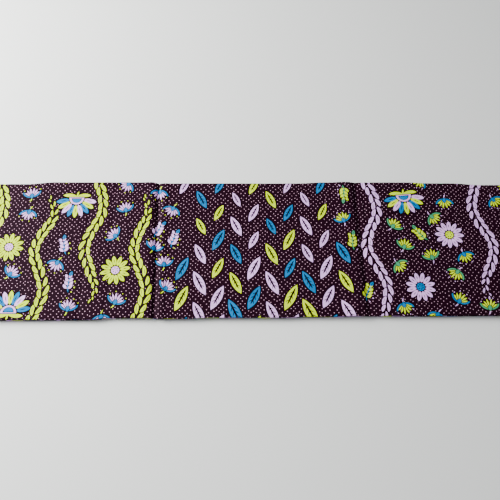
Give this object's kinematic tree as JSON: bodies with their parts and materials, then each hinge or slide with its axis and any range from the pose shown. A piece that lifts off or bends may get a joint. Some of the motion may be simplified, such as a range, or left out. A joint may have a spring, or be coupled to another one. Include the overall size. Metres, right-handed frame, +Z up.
{
  "type": "folded wax print fabric",
  "caption": "Piece of wax-printed cotton, fan-folded into a flat strip and laid out, with two fold lines across it.",
  "frame": {"origin": "under the middle of the outline, on the surface that the cloth lies on", "axes": "+X along the strip from the left selvedge to the right one, +Y towards the back edge with the free cut ends, +Z up out of the top ply"},
  "size_m": [1.2, 0.3138, 0.0144],
  "materials": {
    "printed_cotton": "plain-woven cotton, wax-resist printed on both faces, lightly calendered",
    "folded_cotton": "the same cotton where it shows as folds and selvedges"
  },
  "bodies": {
    "root": {"top_ply": "printed_cotton", "folded_plies": "folded_cotton", "bottom_ply": "printed_cotton"}
  },
  "joints": []
}
